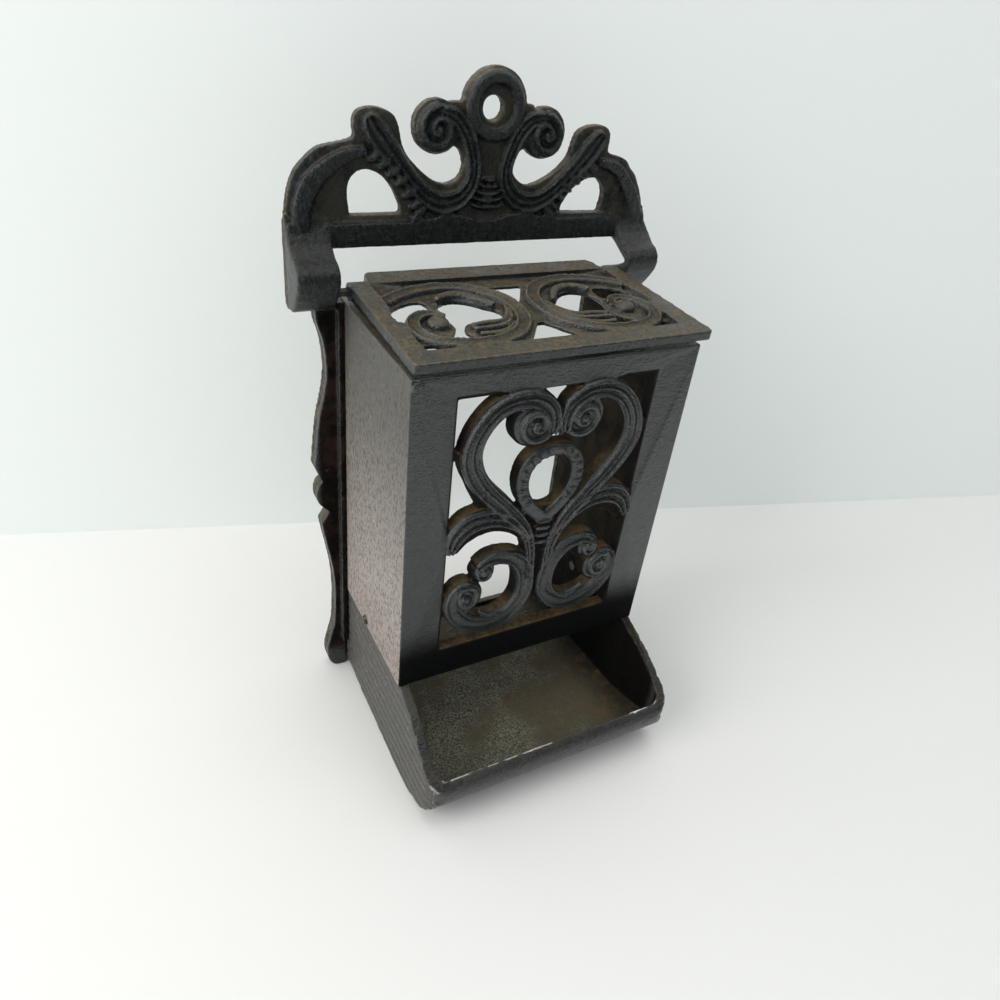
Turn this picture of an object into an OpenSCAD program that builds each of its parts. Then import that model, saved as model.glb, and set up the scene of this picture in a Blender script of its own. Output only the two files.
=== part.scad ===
// Cast-iron matchbox holder with a pierced scrollwork front, a hinged pierced lid,
// an open scoop tray below, and a scrolled crest with a hanging hole.
// The wall is the plane at the back. Heights start at the surface it can also stand on.

/* [Box] */
// Width across the two side walls
box_w = 76; // [75:0.5:77]
// Distance from the wall to the face of the front panel
box_d = 48.8; // [47.8:0.2:49.8]
// Height of the front panel
panel_h = 89.7; // [89:0.1:91]
// How much the side walls rise from the front panel to the back
wall_rise = 1.1; // [0.6:0.1:1.2]
// Thickness of the side walls
wall_t = 3; // [2.6:0.1:3.2]
// Thickness of the front panel
panel_t = 3.8; // [3:0.1:4.2]
// Height the ridges stand out of the scrolls
relief = 0.9; // [0.5:0.1:1]

/* [Tray] */
// Height from the table to the bottom edge of the front panel
tray_h = 33; // [32:0.5:34]
// How far the lip stands out in front of the panel
tray_reach = 24; // [22:0.5:26]
// Distance from one reed to the next
reed_pitch = 3.45; // [3.2:0.05:3.7]

/* [Lid] */
// Thickness of the lid
lid_t = 2.5; // [2.4:0.1:2.8]
// Width of the lid
lid_w = 77.2; // [76:0.2:77.4]
// Slope of the closed lid, down to the front
lid_slope = 3.7; // [3.5:0.1:3.9]
// Side play taken up to the right, as the lid lies
lid_shift = 1.4; // [0:0.1:1.4]
// Diameter of the hinge rod
rod_d = 2; // [1.8:0.1:2.2]

/* [Crest] */
// Thickness of the crest without its ridges
crest_t = 3; // [2.8:0.1:3.2]
// Height of the lower edge of the crest bar above the table
bar_z = 135.5; // [134.5:0.5:136.5]
// Diameter of the hanging hole
hang_d = 5.3; // [4.9:0.1:5.5]
// Distance from the centre to the inner face of an ear
ear_x = 40.2; // [40.2:0.1:40.4]
// Width of one ear
ear_w = 10.2; // [9.8:0.1:10.6]

/* [Hidden] */
$fn = 48;
half_w = box_w / 2;
wall_in = half_w - wall_t;
total_d = box_d + tray_reach;
flare_y = -box_d - 3;
panel_top = tray_h + panel_h;
window_x = 26.5;
window_low = 9.4;
window_high = 83.4;
grille_t = 3.6;
rim_d = 4.7;
seat_d = 2;
flare = 2.4;
bevel = 0.8;
hinge_y = -7.3;
hinge_z = panel_top + 3.6;
rod_r = rod_d / 2;
running_gap = 0.05;
barrel_r = 2.2;
lid_top = 2.25;
lid_front = 41.3;
lid_back = 5.8;
tab_x = 33.2;
ring_x = 17.9;
ring_y = -19.3;
rivet_y = -23.2;
rivet_z = tray_h + 2.2;
rivet_r = 1;
dark_iron = [0.20, 0.22, 0.22];
front_iron = [0.26, 0.28, 0.28];
worn_iron = [0.36, 0.33, 0.29];
steel = [0.45, 0.43, 0.42];

// Points on a circle arc around c with radius r, from angle a to angle b in n steps
function arc(c, r, a, b, n) =
    [for (i = [0:n]) c + r * [cos(a + (b - a) * i / n), sin(a + (b - a) * i / n)]];

// Points on a spiral around c whose radius runs evenly from ra to rb
function spiral(c, ra, rb, a, b, n) =
    [for (i = [0:n]) c + (ra + (rb - ra) * i / n) * [cos(a + (b - a) * i / n), sin(a + (b - a) * i / n)]];

// The point at the fraction t between b and c on a smooth curve through a, b, c and d
function smooth(a, b, c, d, t) =
    0.5 * (2 * b + (c - a) * t + (2 * a - 5 * b + 4 * c - d) * t * t + (3 * b - a - 3 * c + d) * t * t * t);

// The smooth curve through the points p, with n steps from each to the next
function curve(p, n) =
    let (e = len(p) - 1)
    [for (i = [0:e - 1], k = [0:n - 1])
        smooth(p[max(i - 1, 0)], p[i], p[i + 1], p[min(i + 2, e)], k / n), p[e]];

// The value at the fraction t along the evenly spaced list w
function along(w, t) =
    let (u = t * (len(w) - 1), i = min(floor(u), len(w) - 2))
    len(w) == 1 ? w[0] : w[i] + (w[i + 1] - w[i]) * (u - i);

// The left-hand normal of the path p at its point i
function normal_at(p, i) =
    let (d = p[min(i + 1, len(p) - 1)] - p[max(i - 1, 0)])
    [-d[1], d[0]] / norm(d);

// The path p moved sideways by s times the distances in the list w
function beside(p, w, s) =
    [for (i = [0:len(p) - 1]) p[i] + s * along(w, i / (len(p) - 1)) * normal_at(p, i)];

// The points of p in the opposite order
function backwards(p) = [for (i = [len(p) - 1:-1:0]) p[i]];

// The points of p mirrored to the other side of the centre line, in the opposite order
function mirrored(p) = [for (i = [len(p) - 1:-1:0]) [-p[i][0], p[i][1]]];

// A band along the path p whose half width runs through the list w
module band(p, w) {
    polygon(concat(beside(p, w, 1), backwards(beside(p, w, -1))));
}

// The same to the left and to the right of the centre line
module both_sides() {
    children();
    mirror([1, 0, 0])
        children();
}

// Sets a drawing of the front upright, with its face at y = -front and its back at y = -back
module upright(front, back) {
    translate([0, -back, 0])
        rotate([90, 0, 0])
            linear_extrude(front - back)
                children();
}

// Sets a profile drawn in y and z across the part, from x = from to x = to
module across(from, to) {
    translate([from, 0, 0])
        rotate([90, 0, 90])
            linear_extrude(to - from)
                children();
}

// Moves the finished pieces until their footprint is centred
module place() {
    translate([0, total_d / 2, 0])
        children();
}

// Crest drawing: x from the centre, y from the lower edge of the bar

crest_edge = curve([[10.2, 22.4], [8.2, 21.5], [6.9, 19.4], [6.8, 16.8], [8, 14.9], [10.9, 13.7],
    [13.8, 14.3], [16.9, 16.1], [19.4, 18.2], [21.6, 20.6], [22.8, 23.2], [23.4, 26], [24.5, 28.2],
    [26.6, 29.4], [29.4, 29.9], [32, 29.6], [33.8, 28.2], [34.1, 25.8], [34, 23.6], [37, 22.7],
    [41.7, 21.7], [44.6, 19.7], [47.3, 16.8], [49, 12.8], [49.8, 9], [50.3, 5], [50.4, 1]], 2);
volute_c = [14.1, 26.2];
arch_path = curve([[22.6, 7.2], [22.6, 8.6], [23.3, 10.3], [24.6, 12.7], [26.4, 14.9], [28.6, 16.3],
    [31.1, 17], [33.4, 16.5], [35.1, 14.6], [35.6, 12], [35.4, 9.4], [35, 7.2]], 2);
neck_path = curve([[13.4, 29.6], [9.9, 28.5], [6.9, 25.3], [5, 21], [4.3, 16.8], [5.2, 13.2],
    [8, 10.3], [11.8, 9.4], [15.3, 10.5], [18.7, 13.1], [22.2, 16.8], [25.4, 20.6], [28.3, 24.2],
    [30.3, 27]], 3);
neck_w = [1.2, 1.7, 2.0, 1.9, 1.7, 2.0, 2.4, 2.6, 2.4, 2.1, 2.2, 2.7, 3, 1.8];
shoulder_path = curve([[49, 2], [48.8, 9.6], [45.9, 15.2], [41.2, 19.7], [36.8, 21.2], [32, 21.7]], 4);
rope_path = curve([[31.6, 20.2], [28.4, 18.6], [25.4, 16.4], [22.6, 13.4], [20, 9.8], [18.3, 7.4]], 4);

// The drawing's point p on the right side, where the crest has sagged a little
function sagged(p) =
    let (s = max(0, min(1, (p[0] - 8) / 17, (51 - p[0]) / 6)), q = min(1, p[1] / 15),
        t = max(0, min(1, (p[0] - 38) / 7)))
    [p[0] + 0.5 * max(0, min(1, (p[1] - 16) / 6)) - 2.4 * q * t, p[1] - 2.2 * s * q];

// The path p for one side of the crest: the left as drawn, the right sagged
function sided(p, side) = side < 0 ? p : [for (v = p) sagged(v)];

// Both sides of the crest, with the side given to the children as $side
module crest_sides() {
    for ($side = [-1, 1])
        scale([$side, 1])
            children();
}

// The outline of the crest, with its edges drawn in by g
module crest_shape(g) {
    difference() {
        union() {
            translate([0.55, 31])
                circle(r = 8.4 - g);
            translate([-ear_x - 1, 0])
                square([2 * ear_x + 2, 5.8 - g]);
            crest_sides() {
                translate(sided([volute_c], $side)[0])
                    circle(r = 5.95 - g);
                polygon(concat([[0, 3], [0, 31], [7, 31.8 - g], [11, 31.6 - g]],
                    beside(sided(crest_edge, $side), [g], -1), [[39, 1]]));
            }
        }
        crest_sides()
            translate([-0.2 - 0.2 * $side, 0.15 + 0.15 * $side])
                polygon(beside(sided(arch_path, $side), [g], 1));
    }
}

module crest_ridges() {
    translate([0, 31])
        difference() {
            circle(r = 6.3);
            circle(r = 4.85);
        }
    crest_sides() {
        let (neck = sided(neck_path, $side), c = sided([volute_c - [0, 0.3]], $side)[0],
            rope = sided(rope_path, $side)) {
            band(spiral(c, 4.8, 1.2, 90, -470, 40), [0.65, 0.65, 0.5]);
            translate(c)
                circle(r = 1.1);
            band(beside(neck, neck_w, -0.66), [0.5, 0.75, 0.7, 0.6]);
            band(beside(neck, neck_w, 0.66), [0.4, 0.7, 0.75, 0.5]);
            band([for (i = [29:38]) neck[i]], [0.1, 0.6, 0.7, 0.3]);
            band(sided(shoulder_path, $side), [0.8, 0.9, 0.6]);
            for (i = [0:6])
                translate(rope[2 + 3 * i] + [-0.5, 0.4])
                    rotate(-20 - 3 * i)
                        scale([1.9, 0.95])
                            circle(r = 1, $fn = 20);
        }
    }
    polygon([[-20, 5], [20, 5], [20, 6.6], [16, 6], [12, 6.6], [7, 6.9], [3, 5.6], [0, 4.9],
        [-3, 5.6], [-7, 6.9], [-12, 6.6], [-16, 6], [-20, 6.6]]);
    for (i = [0:4])
        let (w = 1.4 + 0.75 * i)
            band(arc([0, 15 - 1.6 * i + 3 * w], 3 * w + 0.2, 250, 290, 8), [0.25, 0.65, 0.25]);
}

// Back casting: crest, ears, side flanges, feet and bottom bar

flange_edge = curve([[44.6, 124], [44.4, 118.6], [42.8, 113], [42.1, 105.5], [42.6, 100], [44.6, 90],
    [46, 77]], 3);
flange_bead = curve([[44, 72], [45.2, 70.6], [45.8, 67.8], [45.2, 65], [43.2, 62.6], [42.3, 61.6]], 3);
flange_foot = curve([[44.6, 57.9], [43.2, 49.5], [41.9, 42], [41.2, 34], [41.2, 26], [41.8, 17.5],
    [43.4, 11], [44.1, 7], [43.8, 3.6], [42.6, 1], [40.9, 0]], 3);

module flange_shape(inner) {
    polygon(concat([[inner, panel_top + 1]], flange_edge, flange_bead, flange_foot, [[inner, 0]]));
}

ear_profile = [[-3.9, bar_z + 4], [-5.5, bar_z + 1.5], [-8, bar_z - 0.5], [-10.6, bar_z - 1.6],
    [-12, bar_z - 3.3], [-12.3, bar_z - 4.9], [-11.7, bar_z - 7.2], [-10, bar_z - 9.8],
    [-7.6, bar_z - 12.8], [-5.7, bar_z - 13.9], [-1.4, bar_z - 14.3], [-0.3, bar_z - 13.4],
    [0, bar_z - 11.6], [0, bar_z + 6]];

// The hollow behind the bent front of an ear
ear_pocket = [[1, bar_z + 1], [-2.6, bar_z - 0.9], [-6.4, bar_z - 2.9], [-10.2, bar_z - 4.9],
    [-7.3, bar_z - 6.5], [-4, bar_z - 8], [1, bar_z - 9.5]];

module back_casting() {
    color(dark_iron)
        difference() {
            union() {
                upright(crest_t - bevel, 0)
                    translate([0, bar_z])
                        crest_shape(0);
                upright(crest_t, crest_t - 1)
                    translate([0, bar_z])
                        crest_shape(bevel);
                upright(crest_t + relief, 1)
                    translate([0, bar_z]) {
                        crest_ridges();
                        translate([-ear_x - 1, 0])
                            square([2 * ear_x + 2, 5.4]);
                    }
                both_sides() {
                    across(ear_x, ear_x + ear_w)
                        polygon(concat(ear_profile, [[-3, bar_z + 8], [-3.3, bar_z + 5]]));
                    upright(rim_d, 0)
                        flange_shape(half_w);
                    upright(rim_d + 2.3, 1)
                        translate([half_w, 12])
                            square([1.6, panel_top - 11]);
                    upright(seat_d, 0)
                        flange_shape(wall_in);
                }
                upright(seat_d, 0)
                    translate([-wall_in - 1, 0])
                        square([2 * wall_in + 2, 8]);
            }
            both_sides()
                across(ear_x - 1, ear_x + ear_w - 2)
                    polygon(ear_pocket);
            translate([0, 1, bar_z + 30.6])
                rotate([90, 0, 0])
                    cylinder(h = crest_t + 4, r = hang_d / 2);
            translate([0, -1.9, bar_z + 30.6])
                rotate([90, 0, 0])
                    cylinder(h = 2.1, r1 = hang_d / 2, r2 = 4.9);
            translate([-ear_x - 8.5, hinge_y, hinge_z])
                rotate([0, 90, 0])
                    cylinder(h = 2 * ear_x + 8.5 + ear_w + 1, r = rod_r + running_gap);
            for (x = [-half_w + wall_t / 2, half_w - wall_t / 2], z = [50, 105])
                translate([x, 1, z])
                    rotate([90, 0, 0])
                        cylinder(h = seat_d + 1, r = 1);
        }
}

// Grille drawing: x from the centre, y from the bottom edge of the front panel

scroll_path = curve([[1.9, 71.4], [1.6, 75], [3, 78.6], [6.6, 81], [11.2, 81.5], [15.8, 80.2],
    [19.3, 77], [21.7, 72.6], [22.3, 67.6], [20.2, 62], [16.4, 57], [12, 52.4], [7.8, 47.6],
    [4.8, 43], [3.1, 38], [2.4, 33], [1.9, 28]], 3);
scroll_w = [1.4, 1.9, 2.3, 2.4, 2.4, 2.5, 2.5, 2.6, 2.9, 2.7, 2.6, 2.5, 2.3, 1.9, 1.5, 1.3, 1.2];
scroll_c = [6.5, 74.7];
leaf_path = curve([[4, 41], [7.5, 45.6], [12, 49], [17, 50.3], [21.5, 49.4], [24.6, 46.4],
    [26.2, 42]], 3);
leaf_w = [1, 1.5, 2.3, 3, 3.2, 2.6, 1.2];
ring_path = curve([[17.6, 35.2], [15, 36.9], [11.2, 37], [7.2, 35.5], [4.3, 32], [3.1, 27.5],
    [3.4, 22.6], [5.9, 18.3], [10.2, 15.5], [15.2, 15.5], [19.9, 17.6], [23.2, 21.4], [24.2, 26],
    [22.6, 29.8], [19.4, 30.6]], 3);
ring_w = [1.2, 1.7, 2, 2.4, 2.7, 2.8, 2.8, 2.8, 2.9, 2.9, 2.7, 2.6, 2.3, 1.7, 1];
curl_c = [15.7, 33.2];
eye_c = [20.6, 26];
egg_path = curve([[0, 68.8], [4.6, 68], [8.4, 64.6], [9.7, 59.4], [8.7, 54.4], [5.8, 49.6],
    [3, 45.5], [0, 42]], 4);
egg_hole = curve([[0, 64.7], [3.4, 63.8], [5.6, 60.8], [5.8, 57.4], [4.6, 53.8], [2.3, 51],
    [0, 50.3]], 4);

module grille_shape() {
    difference() {
        both_sides() {
            band(scroll_path, scroll_w);
            translate(scroll_c)
                circle(r = 6.2);
            band(leaf_path, leaf_w);
            band(beside(leaf_path, leaf_w, -0.9), [0.4, 1.8, 2.6, 2.8, 1.8]);
            polygon([[27, 71.5], [23, 67], [15, 53], [18.5, 52.5], [21.4, 58], [26.6, 70]]);
            band(ring_path, ring_w);
            translate(curl_c)
                circle(r = 3.3);
            translate(eye_c)
                circle(r = 5.3);
            polygon(concat([[-0.1, 68.8]], egg_path, [[-0.1, 42]]));
            translate([-0.1, 23.6])
                square([3.2, 22]);
        }
        both_sides()
            polygon(concat([[-0.1, 64.7]], egg_hole, [[-0.1, 50.3]]));
    }
}

module grille_ridges() {
    both_sides() {
        band(beside(scroll_path, scroll_w, 0.68), [0.4, 0.7, 0.7, 0.75, 0.7, 0.5, 0.35]);
        band(beside(scroll_path, scroll_w, -0.68), [0.4, 0.7, 0.7, 0.75, 0.7, 0.5, 0.35]);
        band(beside(scroll_path, scroll_w, -0.05), [0.1, 0.35, 0.4, 0.4, 0.3, 0.1]);
        band(spiral(scroll_c, 4.8, 1, 215, 690, 36), [1, 0.9, 0.6]);
        translate(scroll_c)
            circle(r = 1);
        band(beside(leaf_path, leaf_w, 0.66), [0.3, 0.5, 0.6, 0.6, 0.3]);
        band(beside(leaf_path, leaf_w, 0.05), [0.2, 0.5, 0.6, 0.6, 0.3]);
        band(beside(leaf_path, leaf_w, -0.66), [0.3, 0.5, 0.6, 0.6, 0.3]);
        band(beside(ring_path, ring_w, 0.68), [0.4, 0.7, 0.75, 0.7, 0.5]);
        band(beside(ring_path, ring_w, -0.68), [0.4, 0.7, 0.75, 0.7, 0.5]);
        band(spiral(curl_c, 2.3, 0.8, 40, -400, 24), [0.7, 0.5]);
        band(spiral(eye_c, 4, 1.6, 60, 420, 24), [0.9, 0.7]);
        translate(eye_c)
            circle(r = 1.5);
        band(arc([11, 25.2], 7.1, 200, 318, 14), [0.3, 0.6, 0.6, 0.4]);
        for (i = [1:8])
            translate([0, 58.6])
                rotate(90 - 17 * i)
                    translate([7.9, 0.2])
                        rotate(24)
                            scale([1.5, 0.6])
                                circle(r = 1, $fn = 16);
    }
    for (i = [0:3])
        translate([-2.6 + 0.2 * i, 45.6 - 2.2 * i])
            square([5.2 - 0.4 * i, 1.1]);
}

// Front panel with its grille, and the two side walls

wall_profile = [[-box_d + 0.1, tray_h], [-box_d + 0.1, panel_top],
    [-seat_d, panel_top + wall_rise], [-seat_d, tray_h]];

module box_shell() {
    color(front_iron)
        difference() {
            union() {
                upright(box_d, box_d - panel_t)
                    translate([0, tray_h])
                        difference() {
                            translate([-half_w, 0])
                                square([box_w, panel_h]);
                            translate([-window_x, window_low])
                                square([2 * window_x, window_high - window_low]);
                        }
                upright(box_d, box_d - grille_t)
                    translate([0, tray_h])
                        grille_shape();
                upright(box_d + relief, box_d - 1)
                    translate([0, tray_h])
                        grille_ridges();
                both_sides() {
                    across(wall_in, half_w)
                        polygon(wall_profile);
                    for (z = [50, 105])
                        translate([half_w - wall_t / 2, 0, z])
                            rotate([90, 0, 0])
                                cylinder(h = seat_d + 1, r = 0.97);
                }
                translate([-half_w + 1.7, -box_d + 0.5, panel_top - 1.8])
                    rotate([90, 0, 0])
                        cylinder(h = 1.1, r1 = 1.5, r2 = 1.1);
            }
            translate([-half_w - 1, rivet_y, rivet_z])
                rotate([0, 90, 0])
                    cylinder(h = box_w + 2, r = rivet_r + 0.03);
        }
}

// Tray: its outline from the side, the line of its floor, and its outline from above

tray_side = concat([[-seat_d, tray_h], [-seat_d, 2]],
    curve([[-18, 1], [-29, 0.9], [-39, 0.3], [-44.8, 0], [-51, 0], [-57.5, 0.6], [-62.6, 2.1],
        [-67.2, 4.6], [-70.4, 7.6], [-72.3, 10.8], [-72.8, 13.6], [-72.2, 16], [-70.2, 17.8],
        [-67.6, 20], [-64, 23.4], [-59.6, 27], [-54.6, 30.4], [-49, tray_h]], 2));
tray_floor = concat([[-seat_d + 1, 6.2]],
    curve([[-16.8, 5.4], [-27.7, 5.3], [-38.8, 5.9], [-51, 6.8], [-60.3, 7.6], [-66, 8.6],
        [-69, 10.4], [-70.2, 13.4], [-70.4, 24]], 3), [[-70.4, tray_h + 8],
        [-seat_d + 1, tray_h + 8]]);

tray_lip = curve([[-71, 14.6], [-70.4, 16], [-67.6, 18.4], [-64, 21.6], [-59.6, 25.2], [-54.6, 28.6],
    [-47, 33]], 2);

// The tray from above: half width w, with the right side flared in front of the box
module tray_plan(w, front, r) {
    right = w + flare;
    polygon([[-w, 0], [w, 0], [w, flare_y], [right, front + r], [right - r, front],
        [r - w, front], [-w, front + r]]);
    for (x = [r - w, right - r])
        translate([x, front + r])
            circle(r = r);
}

module tray_body() {
    intersection() {
        across(-half_w - 3, half_w + 3)
            scale([total_d / 72.8, 1])
                polygon(tray_side);
        linear_extrude(tray_h + 5)
            tray_plan(half_w - 0.2, -total_d, 5);
        union() {
            linear_extrude(tray_h + 5)
                tray_plan(half_w - 0.9, -total_d, 4.6);
            across(-half_w - 3, half_w + 3)
                scale([total_d / 72.8, 1])
                    band(tray_lip, [1.5]);
            for (i = [0:9])
                translate([0, 0, tray_h - 1.9 - reed_pitch * i]) {
                    translate([1.1 - half_w, 0, 0])
                        rotate([90, 0, 0])
                            cylinder(h = total_d, r = 1.6, $fn = 24);
                    translate([half_w - 1.1, 0, 0])
                        rotate([90, 0, 0])
                            cylinder(h = -flare_y, r = 1.6, $fn = 24);
                    translate([half_w - 1.1, flare_y + 0.2, 0])
                        rotate([90, 0, atan(flare / (total_d - 5 + flare_y))])
                            cylinder(h = tray_reach + 6, r = 1.6, $fn = 24);
                }
        }
    }
}

module tray() {
    color(worn_iron)
        difference() {
            union() {
                difference() {
                    tray_body();
                    intersection() {
                        across(-half_w, half_w)
                            scale([total_d / 72.8, 1])
                                polygon(tray_floor);
                        linear_extrude(tray_h + 9)
                            tray_plan(wall_in, 2.4 - total_d, 3.4);
                    }
                }
                both_sides()
                    translate([wall_in - 2, rivet_y - 4, tray_h - 8])
                        cube([2, 8, 14]);
                both_sides()
                    translate([wall_in - 2, rivet_y - 4, tray_h - 8])
                        cube([2.5, 8, 7]);
            }
            translate([-half_w - 1, rivet_y, rivet_z])
                rotate([0, 90, 0])
                    cylinder(h = box_w + 2, r = rivet_r + 0.03);
        }
}

// Rivets that hold the tray under the side walls, and the hinge rod

module rivet(side) {
    translate([side * half_w, rivet_y, rivet_z])
        rotate([0, side * 90, 0]) {
            translate([0, 0, -wall_t - 2.7])
                cylinder(h = wall_t + 3, r = rivet_r);
            cylinder(h = 0.9, r1 = 1.5, r2 = 1.1);
            translate([0, 0, -wall_t - 2.7])
                cylinder(h = 0.7, r = 1.5);
        }
}

module tray_rivet_left() {
    color(steel)
        rivet(-1);
}

module tray_rivet_right() {
    color(steel)
        rivet(1);
}

module hinge_rod() {
    color(steel)
        translate([-ear_x - 8.3, hinge_y, hinge_z])
            rotate([0, 90, 0])
                cylinder(h = 2 * ear_x + 8.3 + ear_w, r = rod_r);
}

// Lid drawing: x from the middle of the lid, y from the hinge rod, negative to the front

coil_path = curve([[15.8, 8.6], [12, 11.3], [6.2, 13.8], [0, 14.7], [-6.2, 13.5], [-11, 10.2],
    [-14, 5.2], [-14.6, -0.5], [-13.1, -6.2], [-9.6, -10.9], [-4.5, -13.8], [1.5, -14.6],
    [7, -13.9], [11.2, -11.8], [13.5, -8.2], [13.7, -4], [12.1, -0.8], [9.4, 1], [6.7, 0.6],
    [5.2, -1.2]], 3);
coil_w = [1.8, 2, 2.1, 2.1, 2.1, 2.1, 2.1, 2.1, 2.1, 2.1, 2.1, 2.1, 2.1, 2, 1.9, 1.9, 1.8, 1.7, 1.5, 1.2];
knob_c = [7.6, -3.8];
hook_path = curve([[3.6, 7], [1.6, 9.2], [-2.1, 10.1], [-5.6, 8.6], [-8, 5.4], [-9.8, 2.6]], 4);
big_hole = curve([[4.2, 0.5], [4.2, 4], [2.6, 7.2], [-1, 8.7], [-4.6, 7.4], [-7.4, 4.4],
    [-9.6, 2.6], [-10.6, -0.6], [-8.6, -3], [-5, -3.9], [-1, -3.2], [1.4, -4.8], [2.2, -7.6],
    [0.8, -11.2], [4.4, -11.6], [8.2, -11.2], [6, -8.6], [3.8, -5.4], [3.9, -1.9], [4.2, 0.5]], 2);
small_hole = curve([[16.6, -2.6], [16.8, 2.4], [14, 7], [9.8, 9.3], [6.4, 9.4], [5.7, 6.4],
    [6, 3.4], [9.6, 3.2], [13.2, 1.4], [15.4, -2], [16.6, -2.6]], 2);
fan = [curve([[0.6, -6.4], [-3.6, -5.6], [-8, -5.2], [-11, -1.4], [-12.2, 2.6]], 3),
    curve([[0.8, -8.2], [-3.6, -8], [-7.8, -7.2], [-10.9, -4], [-12.2, -0.2]], 3),
    curve([[0.4, -10.6], [-3.4, -10.8], [-7.4, -9.6], [-10.3, -6.8]], 3)];

module lid_outline() {
    polygon([[-lid_w / 2, 0], [-lid_w / 2, -lid_front + 1.2], [-lid_w / 2 + 1.2, -lid_front],
        [lid_w / 2, -lid_front], [lid_w / 2 + 1.2, -lid_front + 1.2], [lid_w / 2, -14],
        [lid_w / 2, 0]]);
    translate([-lid_w / 2 + 1.2, -lid_front + 1.2])
        circle(r = 1.2);
    translate([lid_w / 2, -lid_front + 1.2])
        circle(r = 1.2);
    polygon([[-tab_x, -1], [tab_x, -1], [tab_x - 0.2, 3.4], [tab_x - 1.6, lid_back],
        [-tab_x + 1.2, lid_back], [-tab_x, lid_back - 1.2]]);
}

module ring_spots() {
    both_sides()
        translate([ring_x, ring_y])
            children();
}

module lid_holes() {
    ring_spots() {
        polygon(big_hole);
        polygon(small_hole);
    }
    difference() {
        union() {
            polygon([[-8, -35.4], [7.8, -35.4], [0.8, -25.4], [-0.8, -25.4]]);
            polygon([[-5.6, -4.8], [5.6, -4.8], [0.5, -13.6], [-0.5, -13.6]]);
            both_sides()
                translate([29, -35.4])
                    square([4.4, 4.2]);
        }
        ring_spots()
            circle(r = 16.5);
    }
}

module lid_ridges() {
    difference() {
        lid_outline();
        translate([-33.6, -35.5])
            square([67.2, 34.7]);
    }
    translate([-3, -24.6])
        square([6, 10.6]);
    ring_spots() {
        band(beside(coil_path, coil_w, 0.62), [0.5, 0.75, 0.75, 0.75, 0.75, 0.6]);
        band(beside(coil_path, coil_w, -0.62), [0.5, 0.75, 0.75, 0.75, 0.75, 0.6]);
        band(hook_path, [0.5, 0.9, 0.9, 0.6]);
        translate(knob_c)
            circle(r = 2.6);
        for (ray = fan)
            band(ray, [0.7, 0.7, 0.6, 0.4]);
    }
}

module lid_plate() {
    difference() {
        translate([0, 0, lid_top - lid_t])
            linear_extrude(lid_t - relief)
                lid_outline();
        translate([0, 0, lid_top - lid_t - 1])
            linear_extrude(lid_t + 2)
                lid_holes();
    }
    translate([0, 0, lid_top - relief - 0.2])
        linear_extrude(relief + 0.2)
            difference() {
                lid_ridges();
                lid_holes();
            }
}

module lid() {
    color(worn_iron)
        translate([lid_shift, hinge_y, hinge_z])
            rotate([lid_slope, 0, 0])
                difference() {
                    union() {
                        lid_plate();
                        both_sides()
                            translate([lid_w / 2 - 13, 0, 0])
                                rotate([0, 90, 0])
                                    cylinder(h = 13, r = barrel_r);
                    }
                    translate([-lid_w / 2 - 1, 0, 0])
                        rotate([0, 90, 0])
                            cylinder(h = lid_w + 2, r = rod_r + running_gap);
                    translate([-lid_w / 2 + 13, -rod_r - running_gap, -barrel_r - 1])
                        cube([lid_w - 26, 2 * rod_r + 2 * running_gap, barrel_r + 1]);
                }
}

// Output: every piece in its place

place() back_casting();
place() box_shell();
place() tray();
place() tray_rivet_left();
place() tray_rivet_right();
place() hinge_rod();
place() lid();
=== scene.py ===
# %% [markdown]
# # A cast-iron matchbox holder
#
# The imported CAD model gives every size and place. This lesson dresses it: each casting
# gets soft, slightly uneven sand-cast edges and a painted-iron finish with dust and wear.

import math

import bpy
from mathutils import Euler, Matrix, Vector


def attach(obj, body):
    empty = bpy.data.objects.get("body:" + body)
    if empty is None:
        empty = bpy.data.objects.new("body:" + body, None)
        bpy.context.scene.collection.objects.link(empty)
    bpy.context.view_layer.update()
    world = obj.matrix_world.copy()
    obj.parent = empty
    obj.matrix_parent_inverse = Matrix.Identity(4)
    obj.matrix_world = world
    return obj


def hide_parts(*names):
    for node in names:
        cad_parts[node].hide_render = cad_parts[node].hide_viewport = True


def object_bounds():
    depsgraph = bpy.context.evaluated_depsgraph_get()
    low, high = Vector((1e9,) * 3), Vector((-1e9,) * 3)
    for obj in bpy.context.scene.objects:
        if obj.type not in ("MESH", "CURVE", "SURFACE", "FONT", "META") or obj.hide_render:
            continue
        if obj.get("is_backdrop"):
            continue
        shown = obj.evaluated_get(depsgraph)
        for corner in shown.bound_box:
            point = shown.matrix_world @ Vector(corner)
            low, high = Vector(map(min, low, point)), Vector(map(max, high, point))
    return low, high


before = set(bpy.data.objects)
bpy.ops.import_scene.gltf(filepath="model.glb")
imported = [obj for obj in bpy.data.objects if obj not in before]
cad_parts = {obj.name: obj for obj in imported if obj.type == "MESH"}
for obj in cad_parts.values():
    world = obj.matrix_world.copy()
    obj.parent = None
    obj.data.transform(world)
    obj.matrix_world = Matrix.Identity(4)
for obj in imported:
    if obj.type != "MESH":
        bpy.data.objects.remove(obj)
cad_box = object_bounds()
scene = bpy.context.scene
scene.view_settings.view_transform = "Standard"
print("CAD box", cad_box)

# %% Places from the CAD
MM = 0.001
PANEL_Y = -0.0124  # outer face of the front panel
PANEL_FOOT = 0.033  # lower edge of the front panel
CREST_Y = 0.0334  # front face of the crest plate
BAR_Z = 0.1355  # top of the crest's bar, from which the crest is drawn
HINGE = (0, 0.0291, 0.1263)
LID_PLAY = 1.4  # mm that the lid lies over to the right
LID_SLOPE = 3.7  # degrees that the closed lid falls to the front
print("crest drawn from", BAR_Z, "panel from", PANEL_FOOT, "hinge at", HINGE)

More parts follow.
